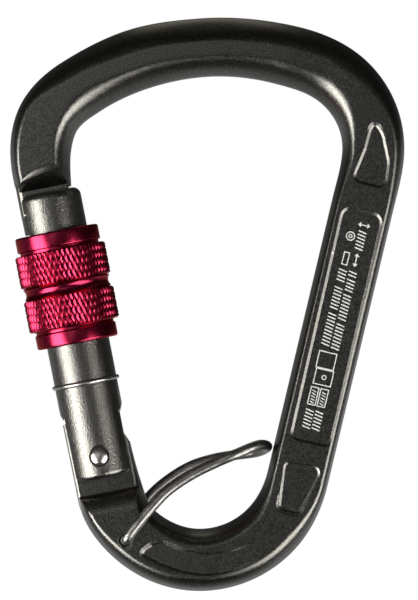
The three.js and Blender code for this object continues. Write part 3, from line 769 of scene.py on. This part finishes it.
def knurl_band(low, high):
    """The knurled shell cut to one band with bevelled ends."""
    bevel = 0.3
    face, edge = KNURL_RADIUS + 0.2, KNURL_RADIUS - bevel - 0.1
    tool = gate_lathe("band", [
        (BAND_BACK, low), (edge, low), (face, low + bevel + 0.15), (face, high - bevel - 0.15),
        (edge, high), (BAND_BACK, high), (BAND_BACK, low)], 120)
    return combine(knurl_shell(low, high), [tool], "INTERSECT")


NUT_FROM, NUT_TURNS, NUT_BACK, NUT_CREST = 29.9, 1.2, 7.1, 5.9


def make_sleeve():
    bottom, top, bore, relief = 22.2, 44.2, 6.45, 6.75
    outside = [(bore, bottom), (7.3, bottom)] + arc(7.92 - 0.5, bottom + 0.5, 0.5, -80, 0, 6)
    outside += arc(7.92 - 0.25, 25.0 - 0.25, 0.25, 0, 80, 4) + [(7.62, 25.08), (7.6, 25.5)]
    outside += [(8.3, 25.7), (8.3, 31.8)]
    outside += [(8.22, 31.95)] + arc(9.45, 33.1, 1.35, 225, 135, 10) + [(8.22, 34.3), (8.3, 34.45)]
    outside += [(8.3, 40.5), (7.7, 40.7), (7.72, 41.2)] + arc(8.15 - 0.25, 41.5, 0.25, -80, 0, 4)
    outside += arc(8.15 - 0.4, top - 0.4, 0.4, 0, 85, 6) + [(7.4, top)]
    inside = [(bore, top), (bore, top - 2.5), (relief, top - 2.8), (relief, bottom + 2.8),
              (bore, bottom + 2.5)]
    profile = outside + inside
    obj = gate_lathe("knurled_sleeve", profile + [profile[0]], 120)
    # the nut's ridge runs in the middle of the gate's groove
    phase = ((NUT_FROM - THREAD_FROM - THREAD_EASE) / PITCH) % 1
    middle = THREAD_BASE / 2 + PITCH / 2 - phase * PITCH
    nut = helical_ridge([(NUT_BACK, middle - 0.5), (NUT_CREST, middle - 0.175), (NUT_CREST, middle + 0.175),
                         (NUT_BACK, middle + 0.5)], NUT_FROM, NUT_TURNS)
    combine(obj, [nut, knurl_band(25.65, 31.9), knurl_band(34.35, 40.65)], "UNION")
    shade(obj, 24, False)
    return obj


def make_ring():
    gap_degrees, wire = 16, 0.42
    span = math.radians(360 - gap_degrees)
    path = []
    for k in range(121):
        a = math.pi / 2 + (k / 120 - 0.5) * span + math.pi
        path.append(round_gate(RING_RADIUS, a, RING_W))
    points, faces = sweep(path, wire, 16, 4)
    obj = new_object("snap_ring", points, faces)
    shade(obj, 50, False)
    return obj


# ---------------------------------------------------------------- keeper

# A leg's [x, z] in front, and how much higher the leg behind runs
KEEPER_LEGS = [(-17.6, -86.9, 1.6), (-15.0, -83.75, 2.2), (-11.5, -80.0, 1.6), (-6.8, -76.75, 1.2),
               (-2.0, -74.35, 0.3), (1.9, -72.7, -0.7)]
KEEPER_TIP = [(6.1, -5.0, -71.1), (8.0, 0.0, -71.5), (6.1, 5.0, -72.7)]


def make_keeper():
    y, stub, radius = 7.1, 1.5, 1.0

    def entry(side):
        return [(KEEPER_X, side * stub, KEEPER_Z), (KEEPER_X, side * (y - 2.4), KEEPER_Z),
                (KEEPER_X + 0.35, side * (y - 0.45), KEEPER_Z + 0.35)]

    front = [(x, -y, z) for x, z, _ in KEEPER_LEGS]
    back = [(x, y, z + rise) for x, z, rise in reversed(KEEPER_LEGS)]
    points = entry(-1) + front + KEEPER_TIP + back + entry(1)[::-1]
    mesh_points, faces = sweep(catmull(points, 300), radius, 28, 5)
    obj = new_object("keeper_hairpin", mesh_points, faces)
    shade(obj, 50, False)
    return obj


# ---------------------------------------------------------------- generic pale marks in the panel

PANEL_DEPTH = 0.29
MARK_FLOOR = 5.3 - PANEL_DEPTH
MARK_HEIGHT = 0.03
MARK_ORIGIN = (26.3, -26.3)  # on the panel's centre line, near its top
MARK_HEADING = math.radians(-103.4)
MARK_STROKE = 0.25
HATCH_PITCH = 0.66
HATCH_LEAN = 0.28
ROW_HEIGHT = 1.6
OUTER_ROW, INNER_ROW = 0.85, -1.15
OUTER_RUNS = ((3.4, 7.2), (11.4, 12.2), (13.0, 15.0), (16.0, 21.0), (21.8, 26.9))
INNER_RUNS = ((11.4, 13.8), (14.9, 19.3), (20.1, 26.2))


def box_outline(s, t, ds, dt, line=0.2):
    """Four bars round a box, in the marking's own axes: s down the panel, t toward the outer edge."""
    bars = ((s, t, ds, line), (s, t + dt - line, ds, line),
            (s, t + line, line, dt - 2 * line), (s + ds - line, t + line, line, dt - 2 * line))
    return [[(a, b), (a + da, b), (a + da, b + db), (a, b + db)] for a, b, da, db in bars]


def hatch(start, stop, t, height=ROW_HEIGHT, stroke=MARK_STROKE, pitch=HATCH_PITCH):
    """A run of leaning strokes, in place of a line of print."""
    strokes = []
    for k in range(int((stop - start) / pitch) + 1):
        s = start + k * pitch
        low, high = t - height / 2, t + height / 2
        strokes.append([(s, low), (s + stroke, low),
                        (s + stroke + HATCH_LEAN, high), (s + HATCH_LEAN, high)])
    return strokes


def ring_outline(s, t, radius, line=0.2, steps=20):
    angles = [2 * math.pi * k / steps for k in range(steps + 1)]
    corners = [(math.cos(a), math.sin(a)) for a in angles]
    return [[(s + radius * a[0], t + radius * a[1]), (s + radius * b[0], t + radius * b[1]),
             (s + (radius - line) * b[0], t + (radius - line) * b[1]),
             (s + (radius - line) * a[0], t + (radius - line) * a[1])] for a, b in zip(corners, corners[1:])]


def arrow_across(s, t, length):
    """A double arrow across the panel."""
    half, head = length / 2, 0.55
    shaft = [(s - 0.1, t - half + head), (s + 0.1, t - half + head),
             (s + 0.1, t + half - head), (s - 0.1, t + half - head)]
    tips = [[(s - 0.5, t + k * (half - head)), (s + 0.5, t + k * (half - head)), (s + 0.05, t + k * half),
             (s - 0.05, t + k * half)] for k in (-1, 1)]
    return [shaft, *tips]


def arrow_along(s, t, length):
    """A double arrow down the panel."""
    half, head = length / 2, 0.6
    shaft = [(s - half + head, t - 0.1), (s + half - head, t - 0.1),
             (s + half - head, t + 0.1), (s - half + head, t + 0.1)]
    tips = [[(s + k * (half - head), t - 0.5), (s + k * (half - head), t + 0.5), (s + k * half, t + 0.05),
             (s + k * half, t - 0.05)] for k in (-1, 1)]
    return [shaft, *tips]


def mark_shapes():
    """Where each mark stands, in the marking's axes, so the blocks fill the space of the real print."""
    shapes = arrow_across(2.3, OUTER_ROW, 2.3) + arrow_along(9.2, OUTER_ROW, 2.6)
    for start, stop in OUTER_RUNS:
        shapes += hatch(start, stop, OUTER_ROW)
    for start, stop in INNER_RUNS:
        shapes += hatch(start, stop, INNER_ROW)
    shapes += ring_outline(4.9, INNER_ROW - 0.1, 0.9) + ring_outline(4.9, INNER_ROW - 0.1, 0.4)
    shapes += box_outline(8.0, INNER_ROW - 0.6, 2.6, 1.2)
    shapes += box_outline(27.6, -2.0, 3.4, 3.6) + box_outline(31.0, -1.8, 3.2, 3.6)
    shapes += ring_outline(32.6, 0.1, 0.5)
    for row in (OUTER_ROW - 0.05, INNER_ROW + 0.05):
        shapes += box_outline(34.7, row - 0.85, 3.6, 1.7)
        shapes += hatch(35.3, 37.5, row, 0.8, 0.2, 0.55)
        shapes += hatch(39.1, 42.9, row)
    return shapes


def make_marks():
    """Generic strokes, arrows, rings and boxes where the real panel is printed."""
    along = (math.cos(MARK_HEADING), math.sin(MARK_HEADING))
    across = (-along[1], along[0])
    points, faces = [], []
    for shape in mark_shapes():
        flat = [(MARK_ORIGIN[0] + s * along[0] + t * across[0],
                 MARK_ORIGIN[1] + s * along[1] + t * across[1]) for s, t in shape]
        base = len(points)
        for y in (-(MARK_FLOOR + MARK_HEIGHT), -(MARK_FLOOR - 0.08)):
            points.extend((x, y, z) for x, z in flat)
        faces.extend([(base + 3, base + 2, base + 1, base), (base + 4, base + 5, base + 6, base + 7)])
        faces.extend((base + k, base + (k + 1) % 4, base + 4 + (k + 1) % 4, base + 4 + k) for k in range(4))
    obj = new_object("panel_marks", points, faces)
    shade(obj, 30, False)
    return obj


# ---------------------------------------------------------------- materials


def node_material(name, metallic=1.0):
    material = bpy.data.materials.new(name)
    material.use_nodes = True
    tree = material.node_tree
    shader = tree.nodes["Principled BSDF"]
    shader.inputs["Metallic"].default_value = metallic
    coordinates = tree.nodes.new("ShaderNodeTexCoord")
    return material, tree, shader, coordinates.outputs["Object"]


def surface(tree, shader, colour, roughness):
    tree.links.new(colour, shader.inputs["Base Color"])
    tree.links.new(roughness, shader.inputs["Roughness"])


def noise(tree, vector, scale, detail=3.0, roughness=0.6):
    node = tree.nodes.new("ShaderNodeTexNoise")
    node.inputs["Scale"].default_value = scale
    node.inputs["Detail"].default_value = detail
    node.inputs["Roughness"].default_value = roughness
    tree.links.new(vector, node.inputs["Vector"])
    return node.outputs["Fac"]


def ramp(tree, value, stops):
    node = tree.nodes.new("ShaderNodeValToRGB")
    elements = node.color_ramp.elements
    while len(elements) < len(stops):
        elements.new(0.5)
    for element, (position, colour) in zip(elements, stops):
        element.position = position
        element.color = (*colour, 1.0)
    tree.links.new(value, node.inputs["Fac"])
    return node.outputs["Color"]


def spread(tree, value, low, high, from_low=0.3, from_high=0.7):
    node = tree.nodes.new("ShaderNodeMapRange")
    node.inputs["From Min"].default_value = from_low
    node.inputs["From Max"].default_value = from_high
    node.inputs["To Min"].default_value = low
    node.inputs["To Max"].default_value = high
    tree.links.new(value, node.inputs["Value"])
    return node.outputs["Result"]


def mix(tree, factor, first, second):
    node = tree.nodes.new("ShaderNodeMix")
    node.data_type = "RGBA"
    for socket, value in ((node.inputs[0], factor), (node.inputs[6], first), (node.inputs[7], second)):
        if isinstance(value, tuple):
            socket.default_value = (*value, 1.0)
        else:
            tree.links.new(value, socket)
    return node.outputs[2]


def bump(tree, shader, height, distance, strength=1.0, below=None):
    node = tree.nodes.new("ShaderNodeBump")
    node.inputs["Strength"].default_value = strength
    node.inputs["Distance"].default_value = distance
    tree.links.new(height, node.inputs["Height"])
    if below is not None:
        tree.links.new(below, node.inputs["Normal"])
    tree.links.new(node.outputs["Normal"], shader.inputs["Normal"])
    return node.outputs["Normal"]


def frame_material():
    """Dark anodised aluminium over a fine blasted grain, with a few pale handling specks."""
    material, tree, shader, vector = node_material("anodised_frame")
    broad = noise(tree, vector, 60, 2)
    grain = noise(tree, vector, 3500, 1, 0.5)
    speck = noise(tree, vector, 900, 2, 0.5)
    base = ramp(tree, broad, [(0.3, (0.150, 0.151, 0.144)), (0.7, (0.185, 0.185, 0.177))])
    grained = mix(tree, spread(tree, grain, 0.0, 1.0, 0.36, 0.64),
                  (0.088, 0.089, 0.085), (0.250, 0.250, 0.240))
    both = mix(tree, spread(tree, broad, 0.62, 0.78), base, grained)
    specks = mix(tree, spread(tree, speck, 0.0, 0.8, 0.76, 0.80), both, (0.52, 0.51, 0.49))
    surface(tree, shader, specks, spread(tree, grain, 0.29, 0.38))
    coarse = noise(tree, vector, 700, 2, 0.5)
    first = bump(tree, shader, coarse, 0.00003, 0.12)
    bump(tree, shader, grain, 0.000018, 0.7, first)
    return material


def gate_material():
    """Grey satin aluminium with a fine grain."""
    material, tree, shader, vector = node_material("satin_gate")
    grain = noise(tree, vector, 3600, 1, 0.5)
    broad = noise(tree, vector, 90, 2)
    base = ramp(tree, broad, [(0.3, (0.205, 0.203, 0.194)), (0.7, (0.240, 0.237, 0.227))])
    grained = mix(tree, spread(tree, grain, 0.0, 1.0, 0.35, 0.65),
                  (0.110, 0.108, 0.103), (0.350, 0.346, 0.332))
    both = mix(tree, spread(tree, broad, 0.45, 0.55), base, grained)
    surface(tree, shader, both, spread(tree, grain, 0.30, 0.40))
    bump(tree, shader, grain, 0.00006, 1.0)
    return material


def sleeve_material():
    """Crimson anodised aluminium: coloured metal under a thin clear oxide."""
    material, tree, shader, vector = node_material("red_sleeve")
    shader.inputs["Specular Tint"].default_value = (0.75, 0.03, 0.12, 1.0)
    shader.inputs["Coat Weight"].default_value = 0.35
    shader.inputs["Coat Roughness"].default_value = 0.20
    grain = noise(tree, vector, 3000, 2, 0.6)
    broad = noise(tree, vector, 120, 2)
    base = ramp(tree, broad, [(0.3, (0.35, 0.008, 0.050)), (0.7, (0.41, 0.010, 0.060))])
    surface(tree, shader, base, spread(tree, grain, 0.24, 0.32))
    bump(tree, shader, grain, 0.000012, 0.4)
    return material


def steel_material(name, colour, low, high, scale):
    """Bright drawn steel with fine scuffs."""
    material, tree, shader, vector = node_material(name)
    scuff = noise(tree, vector, scale, 3, 0.6)
    pale = tuple(min(1.0, c * 1.12) for c in colour)
    dark = tuple(c * 0.86 for c in colour)
    surface(tree, shader, ramp(tree, scuff, [(0.3, dark), (0.7, pale)]), spread(tree, scuff, low, high))
    bump(tree, shader, noise(tree, vector, scale * 3, 2), 0.000006, 0.3)
    return material


def drawn_material():
    """Keeper wire: drawn steel with fine lines and small scuffs along it."""
    material, tree, shader, vector = node_material("drawn_wire")
    stretched = tree.nodes.new("ShaderNodeMapping")
    stretched.inputs["Rotation"].default_value = (0.0, math.radians(38), 0.0)
    stretched.inputs["Scale"].default_value = (0.06, 1.0, 1.0)
    tree.links.new(vector, stretched.inputs["Vector"])
    lines = noise(tree, stretched.outputs["Vector"], 3200, 2, 0.6)
    scuff = noise(tree, vector, 420, 3, 0.6)
    worn = ramp(tree, scuff, [(0.3, (0.31, 0.31, 0.31)), (0.7, (0.48, 0.48, 0.47))])
    lined = mix(tree, spread(tree, lines, 0.0, 0.6), worn, (0.26, 0.26, 0.26))
    surface(tree, shader, lined, spread(tree, scuff, 0.36, 0.46))
    bump(tree, shader, lines, 0.00006, 0.9)
    return material


def mark_material():
    """Pale laser marking, slightly uneven."""
    material, tree, shader, vector = node_material("pale_marking", 0.0)
    uneven = noise(tree, vector, 1500, 2, 0.6)
    tone = ramp(tree, uneven, [(0.3, (0.86, 0.86, 0.85)), (0.7, (0.97, 0.97, 0.96))])
    surface(tree, shader, tone, spread(tree, uneven, 0.5, 0.7))
    return material


def dress(obj, body, slot, material, *nodes):
    obj.data.materials.clear()
    obj.data.materials.append(material)
    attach(obj, body)
    if nodes:
        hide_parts(*nodes)
    return obj


polished = steel_material("polished_steel", (0.70, 0.69, 0.68), 0.28, 0.36, 500)
drawn = drawn_material()
plain = steel_material("plain_steel", (0.48, 0.48, 0.48), 0.22, 0.34, 700)

dress(make_frame(), "frame", "anodised_frame", frame_material(), "frame")
dress(make_marks(), "frame", "satin_gate", mark_material())
dress(make_gate(), "gate", "satin_gate", gate_material(), "gate_tube")
dress(make_rivet(), "frame", "polished_steel", polished, "gate_rivet")
dress(make_plunger(), "plunger", "plain_steel", plain, "gate_plunger")
coil = dress(make_spring(), "gate", "plain_steel", plain, "gate_spring")
dress(make_sleeve(), "sleeve", "red_sleeve", sleeve_material(), "lock_sleeve")
dress(make_ring(), "ring", "polished_steel", polished, "stop_ring")
dress(make_keeper(), "keeper", "polished_steel", drawn, "keeper_wire")

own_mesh(coil)

# ---------------------------------------------------------------- stage, light and camera

CENTRE = Vector((-3.3 * MM, 0, -43.1 * MM))
FLOOR_RADIUS, FLOOR_THICKNESS, FLOOR_DROP, DOME_RADIUS = 1600, 4, 165, 3600
FRAME_ROWS, MM_PER_ROW = 600, 0.19377


def stage_material(name, colour, glow):
    material, tree, shader, vector = node_material(name, 0.0)
    shader.inputs["Roughness"].default_value = 0.9
    tone = ramp(tree, noise(tree, vector, 3, 2), [(0.3, tuple(c * 0.99 for c in colour)), (0.7, colour)])
    tree.links.new(tone, shader.inputs["Base Color"])
    shader.inputs["Emission Color"].default_value = (1, 1, 1, 1)
    shader.inputs["Emission Strength"].default_value = glow
    return material


def make_stage():
    """A pale floor, and a white backdrop that only the camera sees."""
    points, faces = lathe([(0, 0), (FLOOR_RADIUS, 0), (FLOOR_RADIUS, -FLOOR_THICKNESS),
                           (0, -FLOOR_THICKNESS)], 96)
    floor = new_object("floor", [(x, y, z - FLOOR_DROP) for x, y, z in points], faces)
    floor.data.materials.append(stage_material("pale_floor", (0.80, 0.80, 0.80), 1.04))
    floor.visible_glossy = False
    profile = [(0, -DOME_RADIUS)]
    for degrees in range(-80, 90, 10):
        a = math.radians(degrees)
        profile.append((DOME_RADIUS * math.cos(a), DOME_RADIUS * math.sin(a)))
    points, faces = lathe(profile + [(0, DOME_RADIUS)], 48)
    dome = new_object("backdrop", points, faces)
    dome.data.materials.append(stage_material("backdrop_white", (0.0, 0.0, 0.0), 1.0))
    for name in ("visible_glossy", "visible_diffuse", "visible_shadow", "visible_transmission"):
        setattr(dome, name, False)


def soft_light(name, spin, lean, distance, radial, tangential, radiance, tint=(1, 1, 1)):
    """A soft panel facing the carabiner. Seen from the front it stands at the angle spin around the
    carabiner (0 right, 90 up), lean degrees off the front. Its strength is its panel's brightness."""
    s, a = math.radians(spin), math.radians(lean)
    back = Vector((math.sin(a) * math.cos(s), -math.cos(a), math.sin(a) * math.sin(s)))
    around = Vector((-math.sin(s), 0, math.cos(s)))
    data = bpy.data.lights.new(name, "AREA")
    data.shape = "RECTANGLE"
    data.size, data.size_y = radial, tangential
    data.energy = radiance * math.pi * radial * tangential
    data.color = tint
    obj = bpy.data.objects.new(name, data)
    obj.location = CENTRE + back * distance
    obj.rotation_mode = "QUATERNION"
    obj.rotation_quaternion = Matrix((around.cross(back), around, back)).transposed().to_quaternion()
    obj.visible_camera = False
    bpy.context.scene.collection.objects.link(obj)


def make_lights():
    warm = (1.0, 0.96, 0.90)
    soft_light("key_left", 206, 54, 0.7, 0.44, 0.66, 8.9, warm)
    soft_light("key_right", -33, 53, 0.7, 0.50, 0.58, 5.8, warm)
    soft_light("front_left", 156, 15, 0.8, 0.20, 0.36, 0.6)
    soft_light("behind_right", -38, 112, 0.8, 0.36, 0.50, 0.35)
    soft_light("behind_top", 92, 128, 0.8, 0.30, 0.26, 0.7, (1.0, 0.93, 0.76))


# The surroundings' brightness from the front (0) to behind (1): below, and above the carabiner
WORLD_LOW = ((0.0, 0.07), (0.012, 0.06), (0.04, 0.05), (0.10, 0.045), (0.5, 0.06), (0.62, 0.20),
             (0.9, 0.40), (1.0, 0.65))
WORLD_HIGH = ((0.0, 0.17), (0.012, 0.14), (0.04, 0.09), (0.10, 0.05), (0.4, 0.02), (0.6, 0.02),
              (0.9, 0.04), (0.97, 0.07), (1.0, 0.30))


def make_world():
    """What the metal reflects: pale behind, dim in front, dark above."""
    world = bpy.data.worlds.new("studio")
    bpy.context.scene.world = world
    world.use_nodes = True
    tree = world.node_tree
    background = tree.nodes["Background"]
    coordinates = tree.nodes.new("ShaderNodeTexCoord")
    parts = tree.nodes.new("ShaderNodeSeparateXYZ")
    tree.links.new(coordinates.outputs["Generated"], parts.inputs[0])
    depth = spread(tree, parts.outputs["Y"], 0.0, 1.0, -1.0, 1.0)
    raised = spread(tree, parts.outputs["Z"], 0.0, 1.0, -0.15, 0.15)
    low = ramp(tree, depth, [(p, (g, g, g * 0.985)) for p, g in WORLD_LOW])
    high = ramp(tree, depth, [(p, (g, g, g * 0.96)) for p, g in WORLD_HIGH])
    tree.links.new(mix(tree, raised, low, high), background.inputs["Color"])


def make_camera():
    data = bpy.data.cameras.new("camera")
    distance = 0.8
    data.sensor_width = 36.0
    data.lens = data.sensor_width * distance / (FRAME_ROWS * MM_PER_ROW * MM)
    data.clip_start, data.clip_end = 0.05, 20.0
    obj = bpy.data.objects.new("camera", data)
    obj.location = CENTRE + Vector((0, -distance, 0))
    obj.rotation_euler = (math.pi / 2, 0, 0)
    bpy.context.scene.collection.objects.link(obj)
    bpy.context.scene.camera = obj


make_stage()
make_lights()
make_world()
make_camera()
bpy.context.scene.view_settings.view_transform = "Standard"
